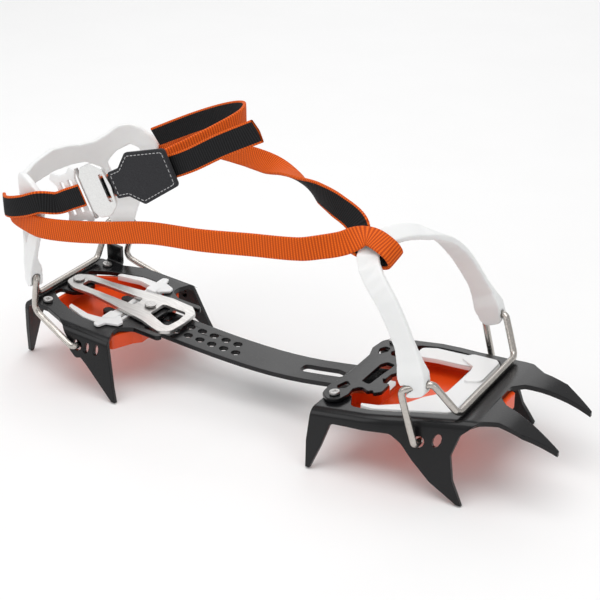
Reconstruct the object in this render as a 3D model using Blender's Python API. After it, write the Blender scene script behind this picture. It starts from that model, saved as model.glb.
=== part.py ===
"""Strap-on crampon for one boot: two spiked steel plates on a sliding linking bar,
wire bails with plastic loops, and an ankle strap with its buckle.

X runs from heel to toe, Y to the boot's left and Z up. The point tips stand on z = 0.
Dimensions are in millimetres and become metres as each mesh is made.
"""
import math

import bmesh
import bpy
from mathutils import Matrix, Vector

MM = 0.001

# Overall layout
FRAME_SHIFT = 41.5        # the plates are laid out from the crosspiece screws, which lie this far ahead
GAP = 0.3                 # air between pieces that touch
PLATE_T = 2.5             # stamped steel
BEND_R = 3.5              # middle surface of every flange bend
BEND_ANGLE = math.radians(76)
TIP_Z = 0.32              # middle of the sheet at the point tips

# Heel plate
REAR_PLANE = (-155.0, 34.0, -0.10)     # x, top z there, slope
REAR_BEND = 36.0                       # half width at the side bends
REAR_END_BEND = -181.0                 # bend of the two heel points
TAB_BEND = 32.0                        # upright stop tab

# Toe plate
FRONT_PLANE = (0.0, 29.5, 0.133)
FRONT_BEND = 38.0                      # side bends in the flat pattern
FRONT_BEND_LINE = ((-10, 39.5), (24, 39.5), (35, 37.8), (45, 35.5), (60, 33.0), (75, 31.0), (120, 22.0))
DROOP_START = 70.0                     # the two front points curve down from here
DROOP = 16.0
DROOP_LENGTH = 41.0

# Linking bar
BAR_T = 2.5
BAR_HALF = 11.3
BAR_TOP = ((-151, 30.1), (-120, 27.0), (-95, 24.5), (-73, 22.7), (-50, 21.9), (-30, 22.8), (-10, 25.2),
           (2, 26.8), (14, 28.4))
HOLE_PITCH = 7.3
HOLE_R = 2.4

# Length lever: middle of its spring sheet
LEVER_MIDDLE = ((-178, 37.7), (-173, 37.2), (-160, 36.2), (-145, 34.7), (-130, 33.2), (-121, 32.2),
                (-114, 30.1), (-105, 28.3))
LEVER_T = 1.8
LEVER_PIN_X = -126.6
LEVER_RIVET_X = -173.3
LEVER_HOLE_R = 1.9
PIN_CLEAR = 0.35          # the pin stops this far above the bar, so that the bar can slide

# Snow plates
TRAY_DEPTH = 7.6
TRAY_WALL = 1.6
CHANNEL_FLOOR = 2.8       # the bar's channel in the tray's end wall

# Wire bails
WIRE_D = 3.7
WIRE_CLEAR = 0.45
BAND_T = 3.0

# Heel loop surface: flat across the back, round at the corners, then straight flanks
BACK_X = -186.0
BACK_FLAT = 12.0
BACK_R = 36.0
FLANK_ANGLE = math.radians(80)

# Webbing
STRAP_W = 11.2
STRAP_T = 1.5


# ---------------------------------------------------------------- outlines

def corner_arc(corner, before, after, radius, steps):
    """Points of the arc that rounds a corner, for 2-D and 3-D polylines."""
    a = before - corner
    b = after - corner
    half = a.angle(b) / 2
    cut = min(radius / math.tan(half), 0.48 * a.length, 0.48 * b.length)
    radius = cut * math.tan(half)
    a.normalize()
    b.normalize()
    centre = corner + (a + b).normalized() * (radius / math.sin(half))
    start = corner + a * cut - centre
    end = corner + b * cut - centre
    sweep = math.pi - 2 * half
    points = []
    for i in range(steps + 1):
        t = i / steps
        spoke = start * math.sin((1 - t) * sweep) + end * math.sin(t * sweep)
        points.append(centre + spoke / math.sin(sweep))
    return points


def rounded(points, steps=4):
    """Closed outline from (x, y) or (x, y, corner radius) points."""
    outline = []
    for i, point in enumerate(points):
        here = Vector(point[:2])
        if len(point) < 3:
            outline.append(here)
            continue
        before = Vector(points[i - 1][:2])
        after = Vector(points[(i + 1) % len(points)][:2])
        outline += corner_arc(here, before, after, point[2], steps)
    return outline


def mirrored(half):
    """Whole outline from its y >= 0 half; points on the centre line are used once."""
    other = [(p[0], -p[1], *p[2:]) for p in reversed(half) if p[1] > 0]
    return half + other


def oval(x, y, rx, ry, turn=0.0, count=10):
    points = []
    for i in range(count):
        a = 2 * math.pi * i / count
        u = rx * math.cos(a)
        v = ry * math.sin(a)
        points.append((x + u * math.cos(turn) - v * math.sin(turn),
                       y + u * math.sin(turn) + v * math.cos(turn)))
    return points


# ---------------------------------------------------------------- meshes

def curve_bmesh(curve):
    """Evaluated curve as a bmesh with its caps welded."""
    holder = bpy.data.objects.new("pattern", curve)
    bpy.context.scene.collection.objects.link(holder)
    bpy.context.view_layer.update()
    depsgraph = bpy.context.evaluated_depsgraph_get()
    mesh = bpy.data.meshes.new_from_object(holder.evaluated_get(depsgraph))
    bm = bmesh.new()
    bm.from_mesh(mesh)
    bmesh.ops.remove_doubles(bm, verts=bm.verts, dist=0.01)
    bpy.data.objects.remove(holder)
    bpy.data.curves.remove(curve)
    bpy.data.meshes.remove(mesh)
    return bm


def sheet(outline, holes=(), thickness=PLATE_T):
    """Flat outline with holes, as a solid centred on its middle surface."""
    curve = bpy.data.curves.new("pattern", "CURVE")
    curve.dimensions = "2D"
    curve.fill_mode = "BOTH"
    curve.extrude = thickness / 2
    for loop in (outline, *holes):
        spline = curve.splines.new("POLY")
        spline.points.add(len(loop) - 1)
        for point, place in zip(spline.points, loop):
            point.co = (place[0], place[1], 0, 1)
        spline.use_cyclic_u = True
    bm = curve_bmesh(curve)
    bmesh.ops.dissolve_limit(bm, angle_limit=0.01, verts=bm.verts, edges=bm.edges)
    return bm


def wire_bmesh(points, diameter):
    """Round wire through (x, y, z) or (x, y, z, bend radius) points."""
    path = []
    for i, point in enumerate(points):
        here = Vector(point[:3])
        if len(point) < 4:
            path.append(here)
        else:
            path += corner_arc(here, Vector(points[i - 1][:3]), Vector(points[i + 1][:3]), point[3], 4)
    curve = bpy.data.curves.new("wire", "CURVE")
    curve.dimensions = "3D"
    curve.bevel_depth = diameter / 2
    curve.bevel_resolution = 2
    curve.use_fill_caps = True
    spline = curve.splines.new("POLY")
    spline.points.add(len(path) - 1)
    for point, place in zip(spline.points, path):
        point.co = (*place, 1)
    return curve_bmesh(curve)


def disc(x, y, z, radius, height, slope=0.0, count=20):
    """Upright disc whose underside centre is at (x, y, z), leaning with the plate it sits on."""
    bm = bmesh.new()
    lean = Matrix.Rotation(-math.atan(slope), 4, "Y")
    place = Matrix.Translation((x, y, z)) @ lean @ Matrix.Translation((0, 0, height / 2))
    bmesh.ops.create_cone(bm, cap_ends=True, segments=count, radius1=radius, radius2=radius,
                          depth=height, matrix=place)
    return bm


def cut_across(bm, axis, positions):
    """Adds edge lines across a solid so that it can bend there."""
    normal = Vector((0, 0, 0))
    normal[axis] = 1
    for position in positions:
        bmesh.ops.bisect_plane(bm, geom=bm.verts[:] + bm.edges[:] + bm.faces[:], dist=0.001,
                               plane_co=normal * position, plane_no=normal)
    return bm


def reshape(bm, place):
    """Moves every point of a flat pattern to its place on the finished part."""
    for vert in bm.verts:
        vert.co = Vector(place(*vert.co))
    return bm


def spread(start, end, count):
    return [start + (end - start) * i / count for i in range(count + 1)]


# ---------------------------------------------------------------- bends and routes

def interpolate(table, x):
    """Piecewise straight value of a table of (x, value)."""
    if x <= table[0][0]:
        return table[0][1]
    for (x0, y0), (x1, y1) in zip(table, table[1:]):
        if x <= x1:
            return y0 + (y1 - y0) * (x - x0) / (x1 - x0)
    return table[-1][1]


def smooth_value(table, x):
    """Catmull-Rom value of a table of (x, value)."""
    xs = [p[0] for p in table]
    x = min(max(x, xs[0]), xs[-1])
    i = max(k for k in range(len(xs) - 1) if xs[k] <= x)
    x0, y0 = table[i]
    x1, y1 = table[i + 1]
    m0 = (y1 - table[i - 1][1]) / (x1 - xs[i - 1]) if i else (y1 - y0) / (x1 - x0)
    last = i + 2 >= len(xs)
    m1 = (y1 - y0) / (x1 - x0) if last else (table[i + 2][1] - y0) / (xs[i + 2] - x0)
    t = (x - x0) / (x1 - x0)
    h = x1 - x0
    return ((2 * t**3 - 3 * t**2 + 1) * y0 + (t**3 - 2 * t**2 + t) * h * m0
            + (3 * t**2 - 2 * t**3) * y1 + (t**3 - t**2) * h * m1)


def folded(s, w, radius=BEND_R, angle=BEND_ANGLE):
    """(outward, upward) place of a point s past a downward bend line and w above the middle surface."""
    if s <= 0:
        return s, w
    if s < radius * angle:
        turn = s / radius
        return (radius + w) * math.sin(turn), (radius + w) * math.cos(turn) - radius
    rest = s - radius * angle
    return ((radius + w) * math.sin(angle) + rest * math.cos(angle),
            (radius + w) * math.cos(angle) - radius - rest * math.sin(angle))


def fold_length(drop, radius=BEND_R, angle=BEND_ANGLE):
    """Pattern length past the bend line that ends `drop` below the plate's middle surface."""
    bend_drop = radius * (1 - math.cos(angle))
    if drop < bend_drop:
        return radius * math.acos(1 - max(drop, 0) / radius)
    return radius * angle + (drop - bend_drop) / math.sin(angle)


def bend_cuts(start):
    return [start + BEND_R * BEND_ANGLE * i / 4 for i in range(5)]


class Route:
    """Smooth line through stations of (point, direction across the band)."""

    def __init__(self, stations, samples=10):
        points = [Vector(s[0]) for s in stations]
        across = [Vector(s[1]).normalized() for s in stations]
        self.points, self.across = [], []
        for i in range(len(points) - 1):
            for k in range(samples):
                self.points.append(self.blend(points, i, k / samples))
                self.across.append(across[i].lerp(across[i + 1], k / samples))
        self.points.append(points[-1])
        self.across.append(across[-1])
        self.lengths = [0.0]
        for a, b in zip(self.points, self.points[1:]):
            self.lengths.append(self.lengths[-1] + (b - a).length)
        self.length = self.lengths[-1]

    @staticmethod
    def blend(points, i, t):
        p1, p2 = points[i], points[i + 1]
        p0 = points[i - 1] if i else 2 * p1 - p2
        p3 = points[i + 2] if i + 2 < len(points) else 2 * p2 - p1
        chord = (p2 - p1).length
        m1 = (p2 - p0) / ((p2 - p1).length + (p1 - p0).length) * chord
        m2 = (p3 - p1) / ((p3 - p2).length + (p2 - p1).length) * chord
        return ((2 * t**3 - 3 * t**2 + 1) * p1 + (t**3 - 2 * t**2 + t) * m1
                + (3 * t**2 - 2 * t**3) * p2 + (t**3 - t**2) * m2)

    def tangent(self, i):
        last = len(self.points) - 1
        return (self.points[min(i + 1, last)] - self.points[max(i - 1, 0)]).normalized()

    def at(self, u, v, w):
        """u along the route, v across the band, w off its face."""
        u = min(max(u, 0.0), self.length)
        i = 0
        while i < len(self.lengths) - 2 and self.lengths[i + 1] < u:
            i += 1
        t = (u - self.lengths[i]) / (self.lengths[i + 1] - self.lengths[i])
        tangent = self.tangent(i).lerp(self.tangent(i + 1), t).normalized()
        side = self.across[i].lerp(self.across[i + 1], t)
        side = (side - tangent * side.dot(tangent)).normalized()
        return self.points[i].lerp(self.points[i + 1], t) + side * v + tangent.cross(side) * w


def webbing(route, step=6.0):
    """Flat strap of the webbing's width along a route."""
    half = STRAP_W / 2
    bm = sheet([(0, -half), (route.length, -half), (route.length, half), (0, half)], thickness=STRAP_T)
    count = max(2, round(route.length / step))
    cut_across(bm, 0, spread(0, route.length, count)[1:-1])
    return reshape(bm, route.at)


# ---------------------------------------------------------------- objects

def material(name, colour, roughness, metallic=0.0):
    mat = bpy.data.materials.new(name)
    mat.use_nodes = True
    shader = mat.node_tree.nodes["Principled BSDF"]
    shader.inputs["Base Color"].default_value = (*colour, 1)
    shader.inputs["Roughness"].default_value = roughness
    shader.inputs["Metallic"].default_value = metallic
    return mat


def new_collection(name):
    collection = bpy.data.collections.new(name)
    bpy.context.scene.collection.children.link(collection)
    return collection


def joint_frame(name, x=0.0, y=0.0, z=0.0):
    """Empty on a moving group's joint axis."""
    frame = bpy.data.objects.new(name, None)
    parts.objects.link(frame)
    frame.location = ((x + FRAME_SHIFT) * MM, y * MM, z * MM)
    return frame


def mesh_object(name, bm, collection):
    """Closes a bmesh into an object in metres."""
    for vert in bm.verts:
        vert.co = (vert.co + Vector((FRAME_SHIFT, 0, 0))) * MM
    bmesh.ops.recalc_face_normals(bm, faces=bm.faces)
    if bm.calc_volume(signed=True) < 0:
        bmesh.ops.reverse_faces(bm, faces=bm.faces)
    mesh = bpy.data.meshes.new(name)
    bm.to_mesh(mesh)
    bm.free()
    obj = bpy.data.objects.new(name, mesh)
    collection.objects.link(obj)
    return obj


def piece(name, bm, mat, frame, crease=35):
    """A named sub-part that rides on the given joint frame."""
    obj = mesh_object(name, bm, parts)
    obj.data.materials.append(mat)
    obj.data.shade_smooth()
    obj.data.set_sharp_from_angle(angle=math.radians(crease))
    obj.parent = frame
    obj.matrix_parent_inverse = Matrix.Translation(frame.location).inverted()
    return obj


def combine(obj, bm, operation, name):
    """Boolean with a tool mesh that is kept as a hidden wire object."""
    tool = mesh_object(name, bm, cutters)
    tool.hide_render = True
    tool.display_type = "WIRE"
    modifier = obj.modifiers.new(name, "BOOLEAN")
    modifier.operation = operation
    modifier.solver = "EXACT"
    modifier.object = tool
    return obj


# ---------------------------------------------------------------- heel plate group

def rear_top(x):
    x0, z0, slope = REAR_PLANE
    return z0 + slope * (x - x0)


def rear_middle(x):
    return rear_top(x) - PLATE_T / 2


def rear_flange(x, z, radius=None):
    """Pattern point for a place on the side flange."""
    v = REAR_BEND + fold_length(rear_middle(x) - z)
    return (x, v) if radius is None else (x, v, radius)


def rear_spike(y, z, radius=None):
    """Pattern point for a place on a heel point."""
    u = REAR_END_BEND - fold_length(rear_middle(REAR_END_BEND) - z)
    return (u, y) if radius is None else (u, y, radius)


def rear_shape(x, v, w):
    side = math.copysign(1, v)
    if x < REAR_END_BEND:
        out, up = folded(REAR_END_BEND - x, w)
        return REAR_END_BEND - out, v, rear_middle(REAR_END_BEND) + up
    if x < -165 and v > TAB_BEND:
        out, up = folded(v - TAB_BEND, -w, 2.0, math.pi / 2)
        return x, TAB_BEND + out, rear_middle(x) - up
    if abs(v) > REAR_BEND:
        out, up = folded(abs(v) - REAR_BEND, w)
        return x, side * (REAR_BEND + out), rear_middle(x) + up
    return x, v, rear_middle(x) + w


def rear_plate():
    side = [(-183.2, 0), (-183.2, 9), (-184, 13.5, 2.5), rear_spike(17.5, 22), rear_spike(20.3, TIP_Z),
            rear_spike(22.6, TIP_Z), rear_spike(27.5, 17), rear_spike(31, 31, 3), (-180, 31.5)]
    tail = [(-170, 31.5, 4), (-160, 35.5, 4), rear_flange(-154.5, 31.8, 3), rear_flange(-150.5, 27),
            rear_flange(-148, 21, 2), rear_flange(-144, 17.8, 2), rear_flange(-141, 18.6, 1),
            rear_flange(-137.2, 15.7, 3), rear_flange(-127, 6.8), rear_flange(-119.6, TIP_Z),
            rear_flange(-117.4, TIP_Z), rear_flange(-120, 8), rear_flange(-123, 19),
            rear_flange(-125.8, 29, 3),
            (-127, 35), (-129, 30, 4), (-129, 25, 3), (-123, 20.5, 3), (-108.5, 20.5, 2), (-107, 17.2, 1),
            (-119.5, 17, 2), (-119.5, 0)]
    tab = [(-179, 31.5), (-179, 44), (-169.5, 44), (-169.5, 33)]
    near = [(p[0], -p[1], *p[2:]) for p in reversed(side + tail) if p[1] > 0]
    outline = rounded(side + tab + tail + near)
    opening = rounded(mirrored([(-166.5, 0), (-166.5, 5, 3), (-171, 9.5, 3), (-178, 10, 2),
                                (-178.3, 15.5, 2.5),
                                (-169, 21.5, 6), (-160, 25.5, 6), (-150, 28.2, 5), (-139, 28.2, 4),
                                (-131, 19, 5), (-131, 0)]))
    holes = [opening, oval(-126.6, 0, 3.1, 3.1), oval(-173.3, 0, 1.9, 1.9)]
    for s in (-1, 1):
        holes.append(oval(-174, 26 * s, 1.7, 1.7))
        holes.append(oval(-143.9, s * rear_flange(-143.9, 24.5)[1], 2.9, 2.9))
        for x in (-137.9, -132.1):
            holes.append(oval(x, s * rear_flange(x, 24.3)[1], 1.4, 3.0, 0.15 * s))
    bm = sheet(outline, holes)
    for s in (-1, 1):
        cut_across(bm, 1, [s * v for v in bend_cuts(REAR_BEND)])
    cut_across(bm, 1, [TAB_BEND + math.pi * i / 4 for i in range(5)])
    cut_across(bm, 0, [REAR_END_BEND - (v - REAR_BEND) for v in bend_cuts(REAR_BEND)])
    obj = piece("rear_plate", reshape(bm, rear_shape), steel_black, heel_frame)
    return obj


def tray(name, outline, hollow_outline, channel, top, frame):
    """Moulded snow plate: rimmed tray that hangs under a steel plate and lets the bar in."""
    def hang(x, y, w):
        return x, y, top(x) - PLATE_T - 2 * GAP - TRAY_DEPTH / 2 + w

    obj = piece(name, reshape(sheet(outline, thickness=TRAY_DEPTH), hang), orange_plastic, frame)
    for cut, floor, label in ((hollow_outline, TRAY_WALL, "_hollow"), (channel, CHANNEL_FLOOR, "_channel")):
        block = reshape(sheet(cut, thickness=TRAY_DEPTH), lambda x, y, w: hang(x, y, w + floor))
        combine(obj, block, "DIFFERENCE", name + label)
    return obj


def rear_antisnow():
    outline = rounded(mirrored([(-176.5, 0), (-176.5, 17, 3), (-168, 23.5, 5), (-150, 31.5, 8),
                                (-137, 32.5, 2),
                                (-129.5, 30.5, 3), (-125, 19, 2), (-122, 15, 1), (-122, 0)]))
    inner = rounded(mirrored([(-174.6, 0), (-174.6, 16, 2), (-167, 21.8, 4), (-150, 29.4, 7), (-137, 30.4, 2),
                              (-131.5, 28.5, 2), (-128, 19, 2), (-127, 12, 1), (-127, 0)]))
    channel = [(-130, -12.2), (-118, -12.2), (-118, 12.2), (-130, 12.2)]
    return tray("rear_antisnow", outline, inner, channel, rear_top, heel_frame)


def rear_snow_frame():
    """White ring clipped into the heel plate's opening, with fingers over the plate."""
    outer = rounded(mirrored([(-163, 0), (-163, 23.2, 2), (-150, 27.6, 5), (-139.5, 27.6, 3), (-132.4, 19, 4),
                              (-132.4, 0)]))
    hole = rounded(mirrored([(-164.5, 0), (-164.5, 20, 1), (-150, 23.4, 4), (-142, 22, 2), (-141, 0)]))

    def level(height):
        return lambda x, y, w: (x, y, rear_top(x) + height + w)

    ring = sheet(outer, thickness=3.0)
    obj = piece("rear_snow_frame", reshape(ring, level(-1.4)), white_plastic, heel_frame)
    combine(obj, reshape(sheet(hole, thickness=6), level(-1.4)), "DIFFERENCE", "rear_frame_hole")
    for s in (-1, 1):
        boss = rounded([(-140.8, 15.5 * s, 1), (-140.8, 25 * s, 1), (-134.5, 21 * s, 1),
                        (-134.5, 15.5 * s, 1)])
        combine(obj, reshape(sheet(boss, thickness=3.6), level(0)), "UNION", "finger_root")
        clip = rounded([(-140.5, 16 * s, 1), (-140.5, 31.5 * s, 1.6), (-137, 32.5 * s, 1.4),
                        (-135.5, 27.5 * s, 1),
                        (-129.4, 25 * s, 1.5), (-128.9, 21.3 * s, 1.5), (-133.5, 17 * s, 1)])
        combine(obj, reshape(sheet(clip, thickness=1.3), level(1.0)), "UNION", "clip_finger")
    return obj


def screw(name, x, y, z, slope, frame, shank=4.5):
    """Pan head with a cross recess and a short shank."""
    head = disc(x, y, z + GAP, 2.6, 1.4, slope)
    obj = piece(name, head, steel_bright, frame, 40)
    combine(obj, disc(x, y, z + GAP - shank, 1.3, shank + 0.6, 0, 12), "UNION", name + "_shank")
    for turn in (0.4, 0.4 + math.pi / 2):
        slot = bmesh.new()
        bmesh.ops.create_cube(slot, size=1)
        place = (Matrix.Translation((x, y, z + GAP + 1.4)) @ Matrix.Rotation(turn, 4, "Z")
                 @ Matrix.Diagonal((2.8, 0.6, 1.2, 1)))
        bmesh.ops.transform(slot, matrix=place, verts=slot.verts)
        combine(obj, slot, "DIFFERENCE", name + "_recess")
    return obj


def rivet(name, x, y, head_z, bottom_z, radius, shank, frame, slope=0.0):
    """Domed head over a shank that reaches down to bottom_z."""
    head = disc(x, y, head_z, radius, 0.9, slope)
    obj = piece(name, head, steel_bright, frame, 40)
    combine(obj, disc(x, y, bottom_z, shank, head_z + 0.5 - bottom_z, 0, 14), "UNION", name + "_shank")
    return obj


# ---------------------------------------------------------------- lever and bar

def adjust_lever():
    outline = rounded(mirrored([(-178, 0), (-178, 5, 4.5), (-171.5, 8.7, 5), (-158, 8.7, 9), (-145, 10.6, 9),
                                (-129, 13.4, 9), (-111, 16.4, 1.6), (-106, 12, 5), (-105.2, 0)]))
    slot = rounded(mirrored([(-169, 0), (-169, 3.4, 3.3), (-160, 3.9, 9), (-134.5, 4.3, 1.5), (-134, 0)]))
    window = rounded(mirrored([(-122.5, 0), (-122.5, 6.2, 1.8), (-110, 9.4, 2.2), (-109, 0)]))
    bm = sheet(outline, [slot, window, oval(LEVER_RIVET_X, 0, LEVER_HOLE_R, LEVER_HOLE_R),
                         oval(LEVER_PIN_X, 0, LEVER_HOLE_R, LEVER_HOLE_R)], LEVER_T)
    cut_across(bm, 0, spread(-170, -110, 10))
    obj = piece("adjust_lever", reshape(bm, lambda x, y, w: (x, y, smooth_value(LEVER_MIDDLE, x) + w)),
                steel_brushed, lever_frame)
    return obj


def lever_pin():
    middle = smooth_value(LEVER_MIDDLE, LEVER_PIN_X)
    bottom = smooth_value(BAR_TOP, LEVER_PIN_X) + PIN_CLEAR
    return rivet("lever_pin", LEVER_PIN_X, 0, middle + LEVER_T / 2 + 2 * GAP, bottom, 3.1, 1.5,
                 lever_frame, -0.1)


def bar_holes():
    """Two staggered rows of length-setting holes."""
    holes = []
    for i in range(8):
        holes.append(oval(-71.2 - HOLE_PITCH * i, -4, HOLE_R, HOLE_R))
        holes.append(oval(-74.85 - HOLE_PITCH * i, 4, HOLE_R, HOLE_R))
    return holes


def linking_bar():
    fork = [(-141, 0), (-141, 5.3, 1), (-151, 5.3, 2.6), (-151, 10.9, 2.6), (-143, BAR_HALF, 2)]
    nose = [(12, BAR_HALF, 3), (13.5, 6, 2), (13.5, 0)]
    outline = rounded(mirrored(fork + nose))
    slot = rounded([(-34, -3.6, 2.4), (-34, 3.6, 2.4), (-15, 3.6, 3), (-9.5, 1.5, 1.5), (-9.5, -3.6, 1.5)])
    bm = sheet(outline, [*bar_holes(), slot], BAR_T)
    cut_across(bm, 0, spread(-99, 9, 12))
    obj = piece("linking_bar", reshape(bm, lambda x, y, w: (x, y, smooth_value(BAR_TOP, x) - BAR_T / 2 + w)),
                steel_black, bar_frame)
    return obj


# ---------------------------------------------------------------- toe plate group

def front_top(x):
    x0, z0, slope = FRONT_PLANE
    return z0 + slope * (x - x0)


def front_middle(x):
    droop = DROOP * (max(x - DROOP_START, 0) / DROOP_LENGTH) ** 2
    return front_top(x) - PLATE_T / 2 - droop


def deck(x, y, radius=None):
    """Pattern point for a place on the toe plate's deck."""
    v = y * FRONT_BEND / interpolate(FRONT_BEND_LINE, x)
    return (x, v) if radius is None else (x, v, radius)


def front_flange(x, z, radius=None):
    v = FRONT_BEND + fold_length(front_middle(x) - z)
    return (x, v) if radius is None else (x, v, radius)


def front_shape(x, v, w):
    line = interpolate(FRONT_BEND_LINE, x)
    out, up = folded(abs(v) - FRONT_BEND, w)
    if abs(v) <= FRONT_BEND:
        return x, v * line / FRONT_BEND, front_middle(x) + w
    return x, math.copysign(line + out, v), front_middle(x) + up


def front_plate():
    front_point = [(76, 0), (76, 7, 4), deck(81, 11, 3), deck(96, 15.6), deck(111, 19.6), deck(111, 21.6),
                   deck(96, 27.2), (84, 35.5), (77, 39.3, 3)]
    side_point = [front_flange(69.5, 32, 3), front_flange(66.5, 22, 4), front_flange(69, 11),
                  front_flange(75, TIP_Z), front_flange(72.8, TIP_Z),
                  front_flange(58.6, 8.1), front_flange(49, 16.4),
                  front_flange(42.5, 23.2, 5), front_flange(37, 26.6, 5), front_flange(15, 24.8),
                  front_flange(6.8, 24.0, 2.5)]
    third_point = [front_flange(3.2, 12), front_flange(-1.3, TIP_Z), front_flange(-3.3, TIP_Z),
                   front_flange(-4.8, 13),
                   front_flange(-4.6, 24, 2), deck(-4.2, 36, 3)]
    rail = [deck(-4.2, 25, 3), deck(8, 25, 3), deck(13, 35.5, 4), deck(24, 36.3), deck(45, 32.3),
            deck(60, 29.6, 3), (63, 27, 3), (63, 0)]
    outline = rounded(mirrored(front_point + side_point + third_point + rail))
    holes = []
    for s in (-1, 1):
        holes.append(oval(1.8, s * deck(1.8, 31)[1], 1.7, 1.7))
        holes.append(oval(50.8, s * front_flange(50.8, 25.3)[1], 2.9, 2.9))
        holes.append(oval(59.3, s * front_flange(59.3, 27.6)[1], 2.1, 3.4, 0.3 * s))
    bm = sheet(outline, holes)
    for s in (-1, 1):
        cut_across(bm, 1, [s * v for v in bend_cuts(FRONT_BEND)])
    cut_across(bm, 0, [24, 35, 45, 52, 60, 67] + spread(72, 108, 9))
    obj = piece("front_plate", reshape(bm, front_shape), steel_black, toe_frame)
    return obj


def crosspiece():
    """Stamped cross plate on the toe plate's rear corners."""
    lift = 1.1
    thickness = 2.0
    outline = rounded([(-3.5, 0), (-3.5, 14, 3), (-6, 22, 4), (-5, 31, 4), (0, 36.2, 4), (6, 35.6, 3),
                       (8, 29, 3),
                       (7.5, 22.5, 1), (5.6, 20, 0.8), (7.5, 16.6, 1), (10, 16, 1.5), (15, 12.5, 3),
                       (18.6, 8.5, 1), (21, 7.5, 1), (21, 0.5, 1.5), (17.8, -3.5, 1), (17.5, -9, 1),
                       (15.8, -8.6, 0.6), (18.5, -13.2, 0.6), (22, -13, 1.5), (22.3, -22, 2), (19, -24.5, 1),
                       (17, -21.6, 0.8), (15.5, -23.5, 1), (10, -19.8, 2), (7.2, -23, 1), (8, -29, 3),
                       (6, -35.6, 3), (0, -36.2, 4), (-5, -31, 4), (-6, -22, 4), (-3.5, -14, 3)], 3)
    slot = rounded([(9.5, 8.6, 1.5), (14.6, 6.4, 1.5), (12.4, -16.4, 0.8), (7.4, -14, 0.8), (7.4, 5, 1)])
    holes = [slot, oval(1.8, 31, 1.7, 1.7), oval(1.8, -31, 1.7, 1.7)]
    for s in (-1, 1):
        holes.append(rounded([(0.4, 16 * s, 0.8), (-1.8, 22 * s, 1.5), (0, 25 * s, 1.2), (3.4, 23.5 * s, 1.5),
                              (3.9, 19.5 * s, 1.2)]))
    bm = sheet(outline, holes, thickness)
    obj = piece("crosspiece", reshape(bm, lambda x, y, w: (x, y, front_top(x) + GAP + lift + w)), steel_black,
                toe_frame)
    return obj


def front_antisnow():
    outline = rounded(mirrored([(16, 0), (16, 13, 2), (0, 15, 2), (0, 33, 3), (24, 34.5, 4), (45, 31, 6),
                                (60, 28.4, 4), (68.5, 20, 4), (73, 9, 2), (78.5, 5.5, 2), (78.5, 0)]))
    inner = rounded(mirrored([(18, 0), (18, 15, 2), (5, 17, 2), (5, 31, 2), (24, 32.5, 4), (45, 29, 5),
                              (58, 26.6, 3), (66, 19, 3), (68, 0)]))
    channel = [(14, -5), (20, -5), (20, 5), (14, 5)]
    return tray("front_antisnow", outline, inner, channel, front_top, toe_frame)


def front_snow_frame():
    """White ring along the toe plate's opening."""
    outer = rounded(mirrored([(16.5, 0), (16.5, 33.5, 2), (24, 34.9, 4), (45, 30.9, 5), (59.5, 28.0, 3),
                              (62, 25.5, 3),
                              (62, 0)]))
    hole = rounded([(14, -31.5), (25, -31, 3), (36, -26, 3), (42, -16.5, 3), (49.8, -9, 3), (50.5, 19.5, 2),
                    (30, 23, 3), (14, 24)])

    def level(height):
        return lambda x, y, w: (x, y, front_top(x) + height + w)

    obj = piece("front_snow_frame", reshape(sheet(outer, thickness=2.6), level(-1.2)), white_plastic,
                toe_frame)
    combine(obj, reshape(sheet(hole, thickness=6), level(-1.2)), "DIFFERENCE", "front_frame_hole")
    raised = rounded([(41, 26, 2), (45, 31, 3), (59, 28, 3), (61.5, 25, 2), (61.5, 4, 3), (53, 2, 2),
                      (51, 18, 3)])
    combine(obj, reshape(sheet(raised, thickness=1.6), level(0.6)), "UNION", "raised_corner")
    return obj


# ---------------------------------------------------------------- bails and loops

def both_sides(points):
    """Wire route from the near end to its mirror image on the far side."""
    near = [(p[0], -p[1], *p[2:]) for p in points]
    return near + list(reversed(points))


FRONT_BAIL = [(50.8, 37.4, 25.3), (50.8, 44.4, 25.3, 2.5), (43.2, 45.6, 53, 3.2), (57, 40.6, 57.6, 3.2),
              (66.4, 32.1, 40.6, 5)]
HEEL_BAIL = [(-143.9, 38.2, 24.5), (-143.9, 44.8, 24.5, 2.5), (-171.8, 39.6, 37.5, 5),
             (-165.6, 43.4, 59, 3.2),
             (-177, 33.2, 60, 3.2), (-180.8, 26.2, 38.8, 4)]


def bail(name, route, frame):
    return piece(name, wire_bmesh(both_sides(route), WIRE_D), steel_wire, frame, 50)


def bail_groove(obj, route, name):
    """Tunnel for the bail through a loop's two ends."""
    return combine(obj, wire_bmesh(both_sides(route), WIRE_D + 2 * WIRE_CLEAR), "DIFFERENCE", name)


SIDE_DIR = (0.9, 0, 0.44)
TOP_DIR = (0.92, 0, -0.38)
FRONT_LOOP = Route([
    ((51, -42.6, 51), SIDE_DIR), ((43.1, -41.4, 73.1), SIDE_DIR), ((33.1, -39, 89.7), (0.95, 0, 0.3)),
    ((22.8, -35, 100.3), (0.98, 0, 0.1)), ((17.5, -30, 107), (0.98, 0.1, -0.1)),
    ((17.7, -22, 110.9), (0.95, 0.1, -0.3)),
    ((21.2, -8, 111), TOP_DIR), ((26.1, 7, 107), TOP_DIR), ((30.9, 19, 100.6), (0.98, 0, 0)),
    ((35.4, 28, 91.4), (0.95, 0, 0.3)), ((40.1, 35, 79.2), SIDE_DIR), ((45.4, 40, 65.6), SIDE_DIR),
    ((51, 42.6, 51), SIDE_DIR)])


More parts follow.
